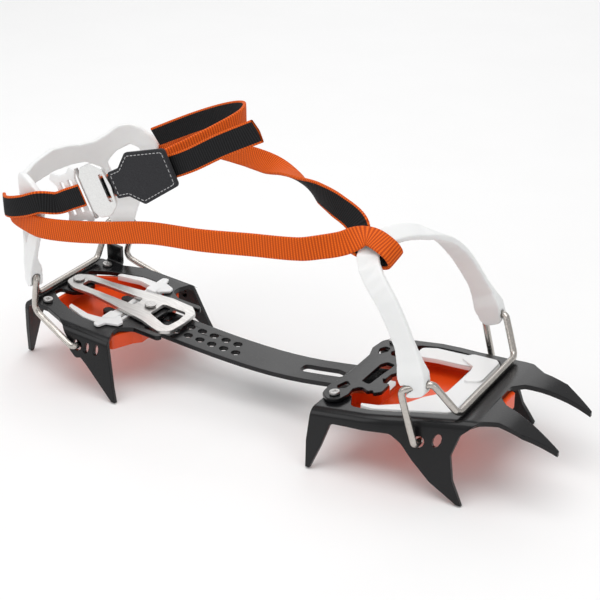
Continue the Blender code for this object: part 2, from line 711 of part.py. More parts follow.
def front_loop():
    """Flexible band over the forefoot, thicker where the bail runs through its ends."""
    route = FRONT_LOOP
    end = route.length
    outline = rounded([(0, -5.5, 4), (0, 5.5, 4), (10, 7, 6), (24, 5.2, 9), (end - 24, 5.2, 9),
                       (end - 10, 7, 6),
                       (end, 5.5, 4), (end, -5.5, 4), (end - 10, -7, 6), (end - 24, -5.2, 9), (24, -5.2, 9),
                       (10, -7, 6)])

    def place(u, v, w):
        near_end = min(u, end - u)
        swell = 1 + 1.4 / (1 + math.exp((near_end - 14) / 1.8))
        return route.at(u, v, w * swell)

    bm = cut_across(sheet(outline, thickness=BAND_T), 0, spread(5, end - 5, 30))
    obj = piece("front_loop", reshape(bm, place), white_plastic, front_bail_frame, 50)
    return bail_groove(obj, FRONT_BAIL, "front_loop_tunnel")


def heel_surface(s, z, w):
    """Point on the heel loop's bent surface: s round the boot from the back, w outward."""
    sign = math.copysign(1, s)
    a = abs(s)
    if a < BACK_FLAT:
        return BACK_X - w, s, z
    turn = min((a - BACK_FLAT) / BACK_R, FLANK_ANGLE)
    rest = a - BACK_FLAT - BACK_R * turn
    x = BACK_X + BACK_R * (1 - math.cos(turn)) + rest * math.sin(turn) - w * math.cos(turn)
    y = BACK_FLAT + BACK_R * math.sin(turn) + rest * math.cos(turn) + w * math.sin(turn)
    return x, sign * y, z


def heel_loop():
    """Heel cradle: band round the back and a windowed flank on each side down to the bail."""
    upper = [(0, 110.6), (12, 108.8, 12), (22, 106.6, 10), (31, 106.8, 8), (38, 109.8, 8), (44.5, 114.2, 6),
             (51, 115, 5), (57, 113, 5), (63, 109, 4), (67.3, 104.6, 2.2), (62, 90, 8), (54.8, 71, 6)]
    lower = [(51.3, 60), (50.3, 52.2, 4), (37.6, 52.2, 4), (36.8, 60), (33.6, 77, 6), (29.8, 92, 5),
             (25.8, 95.8, 4),
             (14, 97.2, 8), (0, 98.4)]
    window = [(37.5, 94, 2.5), (43, 99.6, 3), (50.8, 103.4, 3), (56, 101, 2), (56.6, 93, 3), (47, 75.5, 2.5),
              (43.2, 80, 2.5)]
    half = upper + lower
    outline = rounded(half + [(-p[0], *p[1:]) for p in reversed(half) if p[0] > 0])
    holes = [rounded(window), rounded([(-p[0], *p[1:]) for p in window])]
    bm = sheet(outline, holes, BAND_T)
    cut_across(bm, 0, spread(-51, 51, 20))
    cut_across(bm, 1, [62, 65, 68, 71])

    def place(s, z, w):
        swell = 1 / (1 + math.exp((z - 66.5) / 1.5))
        return heel_surface(s, z, w * (1 + 1.4 * swell) - 1.4 * swell)

    obj = piece("heel_loop", reshape(bm, place), white_plastic, heel_bail_frame, 50)
    return bail_groove(obj, HEEL_BAIL, "heel_loop_tunnel")


# ---------------------------------------------------------------- buckle and strap

UP = (0, 0, 1)
DOWN = (0, 0, -1)
BUCKLE_ORIGIN = Vector((-126.0, -47.6, 114.4))
BUCKLE_ALONG = Vector((0.905, -0.02, 0.425)).normalized()
BUCKLE_OUT = Vector((0.02, -1, 0)).normalized()
BUCKLE_UP = BUCKLE_OUT.cross(BUCKLE_ALONG).normalized()


def on_buckle(u, v, w):
    """Buckle place: u along the strap, v up across it, w out from the boot."""
    return BUCKLE_ORIGIN + BUCKLE_ALONG * u + BUCKLE_UP * v + BUCKLE_OUT * w


def buckle_piece(name, outline, holes, thickness, height, mat, frame):
    bm = sheet(outline, holes, thickness)
    return piece(name, reshape(bm, lambda u, v, w: on_buckle(u, v, w + height)), mat, frame)


def buckle_frame():
    """Bow-tie frame that the webbing is laced through."""
    half = [(-18, 0), (-18, 7.6, 1), (-21, 12, 1.2), (-18.2, 14.8, 1.4), (-13.5, 12.2, 2.5), (-9, 12.2, 2.5),
            (-5.4, 14.8, 1.4), (-2.6, 12, 1.2), (-5, 8.4, 1), (-5, 0)]
    window = [(-15.5, 0), (-15.5, 8.6, 0.8), (-12.9, 8.6, 0.8), (-12.9, 0)]
    second = [(u + 5.5, v, *r) for u, v, *r in window]
    holes = [rounded(mirrored(window)), rounded(mirrored(second))]
    return buckle_piece("buckle_frame", rounded(mirrored(half)), holes, 1.6, -1.6, white_plastic,
                        heel_bail_frame)


def buckle_plate():
    """Hinged clamping plate with its tab slot."""
    half = [(1.5, 0), (1.5, 9, 1), (4, 13, 3), (11, 13.6, 4), (17, 9.5, 3), (18.5, 0)]
    slot = rounded(mirrored([(13.4, 0), (13.4, 7, 0.8), (16, 7, 0.8), (16, 0)]))
    return buckle_piece("buckle_plate", rounded(mirrored(half)), [slot], 1.6, 1.7, steel_bright,
                        buckle_joint_frame)


def buckle_pin():
    bm = wire_bmesh([on_buckle(-0.6, -13, -0.3), on_buckle(-0.6, 13, -0.3)], 2.0)
    return piece("buckle_pin", bm, steel_bright, heel_bail_frame, 50)


def release_tab():
    """Pull tab that passes through the plate's slot."""
    half = [(19.6, 0), (19.6, 6.6, 1), (27, 7.2, 2), (34.5, 13.0, 2), (57.5, 9.2, 2), (57.5, 0)]
    return buckle_piece("release_tab", rounded(mirrored(half)), [], 2.0, 1.7, black_felt, buckle_joint_frame)


WRAP_AT = 75.0            # the strap turns round the front loop this far along it


def on_wrap(v, w):
    """Station of the strap's turn: v towards the toe across the loop's band, w inward off its face."""
    ahead = FRONT_LOOP.at(WRAP_AT + 5, 0, 0) - FRONT_LOOP.at(WRAP_AT - 5, 0, 0)
    return FRONT_LOOP.at(WRAP_AT, v, w), ahead


STRAP_OUTER = Route([
    on_wrap(-1, 5.6), on_wrap(7.6, 5.5), on_wrap(12, 1.0), on_wrap(7.6, -3.6), on_wrap(-4, -3.7),
    ((6, -33.5, 112.0), (0, 0.5, 0.85)), ((-2, -38.5, 110.4), (0, 0.15, 1)),
    ((-11.5, -42, 108.6), UP), ((-35.6, -45, 106.5), UP), ((-60.4, -48, 104.3), UP), ((-88.7, -49.5, 102.4),
                                                                                      UP),
    ((-113, -51.5, 98.0), UP), ((-138, -51.2, 93.4), UP), ((-155, -50.6, 91.6), UP), ((-166, -48.2, 92.0),
                                                                                      UP),
    ((-176, -44.4, 92.6), (0, 0.05, 1)), ((-181, -40.5, 93.2), (0, 0.1, 1))])


def strap_near():
    return piece("strap_near", webbing(STRAP_OUTER), webbing_orange, heel_bail_frame)


STRAP_LACED = Route([
    ((-182, -43.6, 96.2), UP), ((-177.5, -47.8, 97.2), UP), ((-171, -50.6, 99.0), (-0.12, 0, 1)),
    ((-162, -51.9, 102.0), (-0.28, 0, 0.96)), ((-153, -51.7, 105.5), (-0.4, 0, 0.91)),
    (on_buckle(-20.5, 0, 1.0), BUCKLE_UP), (on_buckle(-11, 0, 0.9), BUCKLE_UP),
    (on_buckle(-3.2, 0, 0.7), BUCKLE_UP)])


def strap_laced():
    return piece("strap_laced", webbing(STRAP_LACED), webbing_black, heel_bail_frame)


STRAP_FAR = Route([
    on_wrap(-2.2, 5.6), on_wrap(-8, 5.8), ((4, -15, 114), (-0.1, 0.7, 0.7)),
    ((-12, -6, 117), (0, 0.5, 0.85)), ((-27, 3.5, 116.8), (-0.1, 0, 1)), ((-40, 12, 116.2),
                                                                          (-0.37, -0.62, 0.69)),
    ((-54, 21, 116), (-0.5, -0.85, 0.1)), ((-70, 28.5, 115.2), (-0.4, -0.6, -0.7)),
    ((-88, 35.6, 113.7), (0, -0.15, -1)), ((-115, 44, 111), DOWN), ((-138, 50.2, 107), DOWN),
    ((-155, 51.6, 100), DOWN), ((-160, 51.2, 98.4), DOWN)])


def strap_far():
    return piece("strap_far", webbing(STRAP_FAR), webbing_orange, heel_bail_frame)


STRAP_RETURN = Route([
    ((-150, 44.0, 110), (-0.2, -0.2, 1)), ((-122, 42, 124), UP), ((-100, 37, 134), UP), ((-84, 28, 140), UP),
    ((-79, 16, 140), UP), ((-84, 0, 136), UP), ((-96, -20, 129), UP), ((-108, -36, 122.5), UP),
    ((-117, -43.5, 117.5), UP)])


def strap_return():
    return piece("strap_return", webbing(STRAP_RETURN), webbing_orange, heel_bail_frame)


STRAP_TAIL = Route([
    (on_buckle(3.5, 0, -0.6), BUCKLE_UP), (on_buckle(20, 0, -1.2), BUCKLE_UP), (on_buckle(42, 0, -1.6),
                                                                                BUCKLE_UP),
    ((-67, -47.6, 142), (-0.5, 0.1, 0.85)), ((-49, -47, 152.7), (-0.5, 0.1, 0.85)),
    ((-29.5, -46, 163), (-0.5, 0.1, 0.85))])


def strap_tail():
    return piece("strap_tail", webbing(STRAP_TAIL), webbing_black, heel_bail_frame)


# ---------------------------------------------------------------- build

for old in list(bpy.data.objects):
    bpy.data.objects.remove(old)

parts = new_collection("crampon")
cutters = new_collection("cutters")

steel_black = material("black_steel", (0.018, 0.018, 0.02), 0.42, 0.35)
steel_brushed = material("brushed_lever_steel", (0.62, 0.61, 0.59), 0.34, 1.0)
steel_wire = material("bail_wire", (0.50, 0.47, 0.43), 0.28, 1.0)
steel_bright = material("fastener_steel", (0.66, 0.65, 0.64), 0.3, 1.0)
orange_plastic = material("orange_plastic", (0.90, 0.11, 0.015), 0.38)
white_plastic = material("white_plastic", (0.80, 0.80, 0.78), 0.42)
webbing_orange = material("orange_webbing", (0.78, 0.14, 0.02), 0.85)
webbing_black = material("black_webbing", (0.02, 0.02, 0.022), 0.85)
black_felt = material("black_felt", (0.03, 0.03, 0.035), 0.95)

heel_frame = joint_frame("heel_plate_frame")
lever_frame = joint_frame("lever_hinge", -173.3, 0, 36.0)
bar_frame = joint_frame("bar_slide", -130, 0, 27)
toe_frame = joint_frame("toe_rocker", 4, 0, 26.5)
front_bail_frame = joint_frame("front_bail_hinge", 50.8, 0, 25.3)
heel_bail_frame = joint_frame("heel_bail_hinge", -143.9, 0, 24.5)
buckle_joint_frame = joint_frame("buckle_hinge", *on_buckle(-0.6, 0, -0.3))

rear_plate()
rear_antisnow()
rear_snow_frame()
for side, s in (("near", -1), ("far", 1)):
    screw("rear_screw_" + side, -174, 26 * s, rear_top(-174), -0.1, heel_frame)
    screw("front_screw_" + side, 1.8, 31 * s, front_top(1.8) + 2.0 + GAP + 0.1, 0.133, toe_frame, 5.0)
rivet("lever_rivet", -173.3, 0, 38.6, 33.5, 3.2, 1.4, heel_frame, -0.1)
adjust_lever()
lever_pin()
linking_bar()
front_plate()
crosspiece()
front_antisnow()
front_snow_frame()
bail("front_wire", FRONT_BAIL, front_bail_frame)
front_loop()
bail("heel_wire", HEEL_BAIL, heel_bail_frame)
heel_loop()
buckle_frame()
buckle_plate()
buckle_pin()
release_tab()
strap_near()
strap_laced()
strap_far()
strap_return()
strap_tail()
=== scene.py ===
# %% [markdown]
# # Strap-on crampon, step by step
# A crampon is a pair of spiked steel plates that is strapped under a boot. The steel, the wires and
# the plastic loops come in from the CAD model as a fixed frame. This lesson gives every one of them
# its finish, weaves the strap and stitches the edge of the pull tab.

# %% Load the frame
import math

import bmesh
import bpy
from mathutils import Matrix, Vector

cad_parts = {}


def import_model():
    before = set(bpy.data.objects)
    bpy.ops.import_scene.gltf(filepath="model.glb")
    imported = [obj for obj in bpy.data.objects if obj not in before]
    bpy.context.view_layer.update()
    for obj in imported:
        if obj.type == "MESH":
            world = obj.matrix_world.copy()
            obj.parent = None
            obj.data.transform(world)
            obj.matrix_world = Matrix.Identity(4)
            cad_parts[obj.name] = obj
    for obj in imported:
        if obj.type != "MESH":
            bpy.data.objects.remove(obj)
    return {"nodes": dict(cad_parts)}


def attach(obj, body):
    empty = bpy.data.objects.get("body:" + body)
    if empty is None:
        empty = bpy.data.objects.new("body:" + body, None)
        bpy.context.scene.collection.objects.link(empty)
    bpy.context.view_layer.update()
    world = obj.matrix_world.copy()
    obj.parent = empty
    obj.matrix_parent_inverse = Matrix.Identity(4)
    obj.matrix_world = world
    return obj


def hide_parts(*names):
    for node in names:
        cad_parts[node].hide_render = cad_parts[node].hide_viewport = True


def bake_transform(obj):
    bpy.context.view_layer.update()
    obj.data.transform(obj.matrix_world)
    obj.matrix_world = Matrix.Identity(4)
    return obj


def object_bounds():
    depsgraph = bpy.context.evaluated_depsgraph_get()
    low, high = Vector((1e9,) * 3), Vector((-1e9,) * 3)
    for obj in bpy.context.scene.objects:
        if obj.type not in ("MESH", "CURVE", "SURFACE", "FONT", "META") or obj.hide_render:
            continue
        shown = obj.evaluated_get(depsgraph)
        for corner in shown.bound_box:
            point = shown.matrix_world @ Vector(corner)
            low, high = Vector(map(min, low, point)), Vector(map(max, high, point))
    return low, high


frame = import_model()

node = frame["nodes"]
cad_box = [list(corner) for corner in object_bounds()]

# %% [markdown]
# ## Camera
# A product like this is shot from in front of the toe and a little above. A long lens keeps the near
# and the far side in proportion. We put the camera first, so that everything after it can be judged
# in the same view.

# %% Camera
camera_data = bpy.data.cameras.new("camera")
camera_data.lens = 92.6
camera_data.sensor_width = 36.0
camera = bpy.data.objects.new("camera", camera_data)
camera.location = (0.3515, -0.591, 0.392)
camera.rotation_euler = (math.radians(64.1), 0, math.radians(30.3))
bpy.context.scene.collection.objects.link(camera)
bpy.context.scene.camera = camera
print("camera", tuple(camera.location))

# %% [markdown]
# ## Helpers for the finishes
# A finish is a small network of nodes, and most of them are built from the same few: noise for what
# is uneven, a remap for how much, a mix of two colours, and a bump for the surface. A short function
# for each lets every material below read like a recipe.

# %% Helpers for material nodes
def new_material(name):
    """A material with an empty node tree but for its shader, and the tree's two lists."""
    mat = bpy.data.materials.new(name)
    mat.use_nodes = True
    tree = mat.node_tree
    return mat, tree.nodes, tree.links, tree.nodes["Principled BSDF"]


def add(nodes, kind, **values):
    """A node of that kind; values named in lower case are its settings, the rest its inputs."""
    made = nodes.new(kind)
    for key, value in values.items():
        if key.islower():
            setattr(made, key, value)
        else:
            made.inputs[key.replace("_", " ")].default_value = value
    return made


def calculate(nodes, links, operation, first, second=0.0):
    """Math node's result: first and second are sockets or numbers."""
    made = nodes.new("ShaderNodeMath")
    made.operation = operation
    for i, value in enumerate((first, second)):
        if isinstance(value, (int, float)):
            made.inputs[i].default_value = value
        else:
            links.new(value, made.inputs[i])
    return made.outputs[0]


def mix_colours(nodes, links, factor, first, second):
    """Colour mix: factor is a socket, and the two colours are sockets or triples."""
    made = nodes.new("ShaderNodeMix")
    made.data_type = "RGBA"
    links.new(factor, made.inputs[0])
    for socket, value in ((made.inputs[6], first), (made.inputs[7], second)):
        if isinstance(value, tuple):
            socket.default_value = (*value, 1)
        else:
            links.new(value, socket)
    return made.outputs[2]


def stretch(nodes, links, scale):
    """Object coordinates stretched by scale, for grain that runs one way."""
    place = nodes.new("ShaderNodeTexCoord")
    mapping = add(nodes, "ShaderNodeMapping", Scale=scale)
    links.new(place.outputs["Object"], mapping.inputs["Vector"])
    return mapping.outputs["Vector"]


def noise(nodes, links, vector, scale, detail=3.0, roughness=0.55):
    """Noise from 0 to 1, which is what makes a finish uneven."""
    made = add(nodes, "ShaderNodeTexNoise", Scale=scale, Detail=detail, Roughness=roughness)
    links.new(vector, made.inputs["Vector"])
    return made.outputs["Fac"]


def remap(nodes, links, value, low, high, start=0.0, end=1.0):
    """Value, which runs from start to end, made to run from low to high."""
    made = add(nodes, "ShaderNodeMapRange", From_Min=start, From_Max=end, To_Min=low, To_Max=high)
    links.new(value, made.inputs["Value"])
    return made.outputs["Result"]


def bump(nodes, links, height, shader, strength, distance):
    """Lets the shader see height as relief, distance metres deep."""
    made = add(nodes, "ShaderNodeBump", Strength=strength, Distance=distance)
    links.new(height, made.inputs["Height"])
    links.new(made.outputs["Normal"], shader.inputs["Normal"])


EVEN = (1.0, 1.0, 1.0)
print("helpers ready")

# %% [markdown]
# ## Black steel
# The plates and the bar are laser-cut from heat-treated steel, bent, and dipped in a satin black
# paint. The paint pools into a very fine skin like the peel of an orange, and dust and handling make
# some patches duller than others. Low-scale noise drives roughness, and high-scale noise the skin.
# The thin film gives a second, softer reflection, which is the shader's coat.


# %% Black steel material
def black_paint():
    mat, nodes, links, shader = new_material("black_painted_steel")
    place = stretch(nodes, links, EVEN)
    cloud = noise(nodes, links, place, 55.0, 5.0)
    skin = noise(nodes, links, place, 2600.0, 2.0)
    speck = noise(nodes, links, place, 900.0, 4.0, 0.75)
    dust = remap(nodes, links, speck, 0.0, 1.0, 0.62, 0.74)
    colour = mix_colours(nodes, links, cloud, (0.0030, 0.0030, 0.0035), (0.0075, 0.0075, 0.0085))
    colour = mix_colours(nodes, links, dust, colour, (0.0055, 0.0055, 0.0062))
    links.new(colour, shader.inputs["Base Color"])
    dull = calculate(nodes, links, "ADD", remap(nodes, links, cloud, 0.16, 0.30),
                     calculate(nodes, links, "MULTIPLY", dust, 0.2))
    links.new(dull, shader.inputs["Roughness"])
    shader.inputs["Specular IOR Level"].default_value = 0.26
    shader.inputs["Coat Weight"].default_value = 0.15
    shader.inputs["Coat Roughness"].default_value = 0.22
    bump(nodes, links, skin, shader, 0.25, 0.00006)
    return mat


black_steel = black_paint()
print("made", black_steel.name)

# %% [markdown]
# ## Bare steels
# The lever is stainless sheet, brushed lengthways, so its grain is noise stretched along one axis.
# The bails are drawn wire, warm grey and smoother, with faint drawing marks. Screws, rivets, the
# buckle plate and its pin are tumbled, which leaves a fine even mottle.


# %% Bare steel materials
def bare_steel(name, colour, darker, rough, grain_scale, grain_stretch, depth):
    mat, nodes, links, shader = new_material(name)
    grain = noise(nodes, links, stretch(nodes, links, grain_stretch), grain_scale, 4.0, 0.6)
    cloud = noise(nodes, links, stretch(nodes, links, EVEN), 90.0, 3.0)
    tone = mix_colours(nodes, links, remap(nodes, links, grain, 0.0, 1.0, 0.3, 0.7), darker, colour)
    tone = mix_colours(nodes, links, remap(nodes, links, cloud, 0.0, 0.35), tone, darker)
    links.new(tone, shader.inputs["Base Color"])
    uneven = calculate(nodes, links, "ADD", remap(nodes, links, grain, rough - 0.06, rough + 0.06),
                       remap(nodes, links, cloud, -0.04, 0.06))
    links.new(uneven, shader.inputs["Roughness"])
    shader.inputs["Metallic"].default_value = 1.0
    bump(nodes, links, grain, shader, 0.3, depth)
    return mat


lever_steel = bare_steel(
    "brushed_lever_steel", (0.74, 0.73, 0.71), (0.50, 0.49, 0.48),
    0.33, 700.0, (0.06, 1.0, 1.0), 0.00004)
bail_steel = bare_steel(
    "drawn_bail_wire", (0.60, 0.57, 0.53), (0.46, 0.43, 0.40),
    0.24, 900.0, EVEN, 0.000004)
screw_steel = bare_steel(
    "tumbled_screw_steel", (0.66, 0.65, 0.64), (0.42, 0.41, 0.40),
    0.30, 1500.0, EVEN, 0.00003)
plate_metal = bare_steel(
    "satin_buckle_metal", (0.86, 0.86, 0.85), (0.72, 0.72, 0.71),
    0.38, 1800.0, EVEN, 0.00003)
print("made", lever_steel.name, bail_steel.name, screw_steel.name, plate_metal.name)

# %% [markdown]
# ## Moulded plastics
# The trays under the plates are soft orange plastic, injection moulded, with a light satin skin. The
# loops and the frames are a milky white that lets a little light in, so it scatters under the
# surface. Both show a very low waviness from the mould and some fine texture.


# %% Plastic materials
def moulded(name, colour, other, rough, scatter, radius):
    mat, nodes, links, shader = new_material(name)
    place = stretch(nodes, links, EVEN)
    flow = noise(nodes, links, stretch(nodes, links, (1.0, 1.0, 2.5)), 38.0, 3.0)
    grain = noise(nodes, links, place, 2200.0, 3.0, 0.6)
    wave = noise(nodes, links, place, 160.0, 1.0)
    links.new(mix_colours(nodes, links, flow, colour, other), shader.inputs["Base Color"])
    uneven = calculate(nodes, links, "ADD", remap(nodes, links, flow, rough - 0.05, rough + 0.07),
                       remap(nodes, links, grain, -0.04, 0.04))
    links.new(uneven, shader.inputs["Roughness"])
    shader.inputs["Subsurface Weight"].default_value = scatter
    shader.inputs["Subsurface Radius"].default_value = radius
    shader.inputs["Subsurface Scale"].default_value = 0.001
    height = calculate(nodes, links, "ADD", grain, calculate(nodes, links, "MULTIPLY", wave, 3.0))
    bump(nodes, links, height, shader, 0.2, 0.00005)
    return mat


tray_plastic = moulded(
    "orange_tray_plastic", (0.90, 0.095, 0.008), (0.78, 0.065, 0.006),
    0.34, 0.12, (2.5, 0.8, 0.3))
loop_plastic = moulded(
    "milky_loop_plastic", (0.86, 0.865, 0.86), (0.79, 0.80, 0.80),
    0.36, 0.35, (3.0, 3.0, 2.8))
print("made", tray_plastic.name, loop_plastic.name)

# %% [markdown]
# ## Pull tab cloth
# The pull tab is dark felt-like cloth, cut to shape and sewn round its edge with pale thread. Its
# fibres lie every way, which fine noise shows in colour and height, and a little sheen lightens it
# where it turns away from us.


# %% Cloth and thread materials
def felt():
    mat, nodes, links, shader = new_material("black_tab_felt")
    place = stretch(nodes, links, EVEN)
    fibre = noise(nodes, links, place, 2600.0, 6.0, 0.8)
    patch = noise(nodes, links, place, 320.0, 3.0)
    light = remap(nodes, links, fibre, 0.0, 1.0, 0.35, 0.75)
    colour = mix_colours(nodes, links, light, (0.010, 0.010, 0.012), (0.060, 0.060, 0.066))
    worn = remap(nodes, links, patch, 0.0, 0.5)
    colour = mix_colours(nodes, links, worn, colour, (0.022, 0.022, 0.025))
    links.new(colour, shader.inputs["Base Color"])
    links.new(remap(nodes, links, fibre, 0.72, 0.95), shader.inputs["Roughness"])
    shader.inputs["Specular IOR Level"].default_value = 0.2
    shader.inputs["Sheen Weight"].default_value = 0.08
    shader.inputs["Sheen Roughness"].default_value = 0.5
    bump(nodes, links, fibre, shader, 0.6, 0.00025)
    return mat


def sewing_thread():
    mat, nodes, links, shader = new_material("pale_sewing_thread")
    twist = noise(nodes, links, stretch(nodes, links, EVEN), 5200.0, 2.0)
    colour = mix_colours(nodes, links, twist, (0.34, 0.34, 0.35), (0.62, 0.62, 0.62))
    links.new(colour, shader.inputs["Base Color"])
    links.new(remap(nodes, links, twist, 0.5, 0.75), shader.inputs["Roughness"])
    bump(nodes, links, twist, shader, 0.4, 0.00008)
    return mat


tab_felt = felt()
thread = sewing_thread()
print("made", tab_felt.name, thread.name)

# %% [markdown]
# ## Webbing
# The strap is one 11 mm nylon webbing with two faces, orange outside and black inside, and an orange
# selvedge down both edges. Its weft makes ribs straight across it, a little over a millimetre apart,
# and the warp threads cross each rib like bricks. The ribs are real geometry below. The material
# reads how far along and across the strap a point is from the UV map, and which face it is on from
# an attribute, so the weave follows every bend. The same weave also paints shade into the colour:
# darker in the grooves between ribs and threads, lighter on the crests.

# %% Webbing material
RIB_PITCH = 0.00135          # along the strap
THREAD_PITCH = 0.0010        # across it
SELVEDGE = 0.0047            # the orange edge starts this far from the middle
FIRST_RIB = 1000.5           # the ribs are counted up from here, half a rib off their crests


def woven():
    mat, nodes, links, shader = new_material("two_faced_webbing")
    uv = nodes.new("ShaderNodeUVMap")
    uv.uv_map = "weave"
    split = nodes.new("ShaderNodeSeparateXYZ")
    links.new(uv.outputs["UV"], split.inputs[0])
    across, along = split.outputs[0], split.outputs[1]
    turns = calculate(nodes, links, "DIVIDE", along, RIB_PITCH)
    rib = calculate(nodes, links, "COSINE", calculate(nodes, links, "MULTIPLY", turns, 2 * math.pi))
    ridge = remap(nodes, links, rib, 0.0, 1.0, -1.0, 1.0)
    rib_number = calculate(nodes, links, "FLOOR", calculate(nodes, links, "ADD", turns, FIRST_RIB))
    odd_rib = calculate(nodes, links, "MODULO", rib_number, 2.0)
    half_step = calculate(nodes, links, "MULTIPLY", odd_rib, 0.5)
    threads = calculate(nodes, links, "DIVIDE", across, THREAD_PITCH)
    thread_turns = calculate(nodes, links, "ADD", threads, half_step)
    thread_angle = calculate(nodes, links, "MULTIPLY", thread_turns, 2 * math.pi)
    brick = calculate(nodes, links, "COSINE", thread_angle)
    brick = remap(nodes, links, brick, 0.0, 1.0, -1.0, 1.0)
    face = nodes.new("ShaderNodeAttribute")
    face.attribute_name = "inner_face"
    inner = calculate(nodes, links, "GREATER_THAN", face.outputs["Fac"], 0.5)
    middle = calculate(nodes, links, "LESS_THAN", calculate(nodes, links, "ABSOLUTE", across), SELVEDGE)
    black = calculate(nodes, links, "MULTIPLY", inner, middle)
    fuzz = noise(nodes, links, stretch(nodes, links, EVEN), 2400.0, 4.0, 0.7)
    fade = noise(nodes, links, stretch(nodes, links, EVEN), 45.0, 3.0)
    # Painted shade: the grooves between ribs and between threads are coloured darker and the crests
    # lighter, on both faces; the same value is also the bump height.
    weave_height_and_painted_shade = calculate(nodes, links, "MULTIPLY", remap(nodes, links, ridge, 0.12, 1.0),
                      remap(nodes, links, brick, 0.72, 1.0))
    orange = mix_colours(nodes, links, weave_height_and_painted_shade, (0.34, 0.030, 0.002), (0.96, 0.175, 0.012))
    worn = remap(nodes, links, fade, 0.0, 0.4)
    orange = mix_colours(nodes, links, worn, orange, (0.66, 0.085, 0.006))
    dark = mix_colours(nodes, links, weave_height_and_painted_shade, (0.002, 0.002, 0.002), (0.020, 0.020, 0.022))
    colour = mix_colours(nodes, links, black, orange, dark)
    links.new(colour, shader.inputs["Base Color"])
    links.new(remap(nodes, links, fuzz, 0.52, 0.78), shader.inputs["Roughness"])
    shader.inputs["Specular IOR Level"].default_value = 0.16
    shader.inputs["Sheen Weight"].default_value = 0.02
    shader.inputs["Sheen Roughness"].default_value = 0.4
    height = calculate(nodes, links, "ADD", weave_height_and_painted_shade, calculate(nodes, links, "MULTIPLY", fuzz, 0.35))
    bump(nodes, links, height, shader, 0.7, 0.00022)
    return mat


webbing = woven()
print("made", webbing.name)

# %% [markdown]
# ## Soft edges on the hard parts
# Nothing that is stamped, bent or moulded has a perfectly sharp edge, and the thin light line along
# each edge is what makes steel look like steel. The frame's meshes may not be changed, but they may
# have modifiers. Weld joins their loose triangles, Decimate joins the flat ones, Bevel rounds the
# edges, and Weighted Normal keeps the big faces flat. The bar's many small holes don't take Decimate
# well, so it goes without.

# %% Round the edges of cut and moulded parts
WELD_DISTANCE = 0.00001
FLAT_WITHIN = math.radians(0.6)
EDGE_FROM = math.radians(32)     # a sharper bend than this is an edge
EDGE_SEGMENTS = 2


def finish(name, mat):
    """Gives one of the frame's nodes its material, and joins its triangles."""
    obj = node[name]
    obj.data.materials.clear()
    obj.data.materials.append(mat)
    obj.modifiers.new("weld", "WELD").merge_threshold = WELD_DISTANCE
    return obj


def soften(name, mat, width, join_flat):
    """Rounds the edges of a cut or moulded part by width, in metres."""
    obj = finish(name, mat)
    if join_flat:
        flat = obj.modifiers.new("join_flat_faces", "DECIMATE")
        flat.decimate_type = "DISSOLVE"
        flat.angle_limit = FLAT_WITHIN
    edge = obj.modifiers.new("round_edges", "BEVEL")
    edge.width = width
    edge.segments = EDGE_SEGMENTS
    edge.limit_method = "ANGLE"
    edge.angle_limit = EDGE_FROM
    edge.use_clamp_overlap = False
    edge.miter_outer = "MITER_ARC"
    normals = obj.modifiers.new("flat_faces", "WEIGHTED_NORMAL")
    normals.keep_sharp = False


for name, mat, width in (
        ("rear_plate", black_steel, 0.00032), ("front_plate", black_steel, 0.00032),
        ("linking_bar", black_steel, 0.00022), ("crosspiece", black_steel, 0.00032),
        ("adjust_lever", lever_steel, 0.00022), ("lever_pin", screw_steel, 0.00012),
        ("lever_rivet", screw_steel, 0.0002), ("rear_screw_near", screw_steel, 0.0002),
        ("rear_screw_far", screw_steel, 0.0002), ("front_screw_near", screw_steel, 0.0002),
        ("front_screw_far", screw_steel, 0.0002), ("buckle_plate", plate_metal, 0.0003),
        ("buckle_pin", screw_steel, 0.00012), ("buckle_frame", loop_plastic, 0.0003),
        ("rear_antisnow", tray_plastic, 0.00025), ("front_antisnow", tray_plastic, 0.00025),
        ("rear_snow_frame", loop_plastic, 0.00025), ("front_snow_frame", loop_plastic, 0.00025),
        ("release_tab", tab_felt, 0.0004)):
    soften(name, mat, width, name != "linking_bar")
print("rounded", len([obj for obj in node.values() if "round_edges" in obj.modifiers]), "parts")

# %% [markdown]
# ## Round wires and soft loops
# The bails are bent from round wire, and Subdivision Surface makes their faceted sweeps round again.
# The loops are moulded in a rubbery plastic with no crisp edge anywhere, so Remesh lays an even skin
# over them and Smooth melts its edges a little.

# %% Wires and loops
WIRE_ROUNDS = 2
SKIN_STEP = 0.0005
MELT_PASSES = 12

for name in ("front_wire", "heel_wire"):
    wire = finish(name, bail_steel)
    smooth = wire.modifiers.new("round_wire", "SUBSURF")
    smooth.levels = smooth.render_levels = WIRE_ROUNDS
for name in ("front_loop", "heel_loop"):
    loop = finish(name, loop_plastic)
    skin = loop.modifiers.new("even_skin", "REMESH")
    skin.mode = "VOXEL"
    skin.voxel_size = SKIN_STEP
    skin.use_smooth_shade = True
    melt = loop.modifiers.new("moulded_edges", "SMOOTH")
    melt.factor = 0.5
    melt.iterations = MELT_PASSES
print("finished", len([obj for obj in node.values() if obj.modifiers]), "hard parts")

# %% [markdown]
# ## The strap's path
# The strap is laid along a smooth path of stations, each a point and the way across the webbing
# there. Between stations the path is a spline, and the across direction turns evenly, which is how a
# strap twists. The stations are in millimetres from the crosspiece, as on a maker's drawing.

# %% Path helper
MM = 0.001
FRAME_SHIFT = 41.5           # mm, from the frame's origin to the crosspiece
START_TURN = 60              # samples taken up by the turn round the front loop
UP = (0, 0, 1)
DOWN = (0, 0, -1)


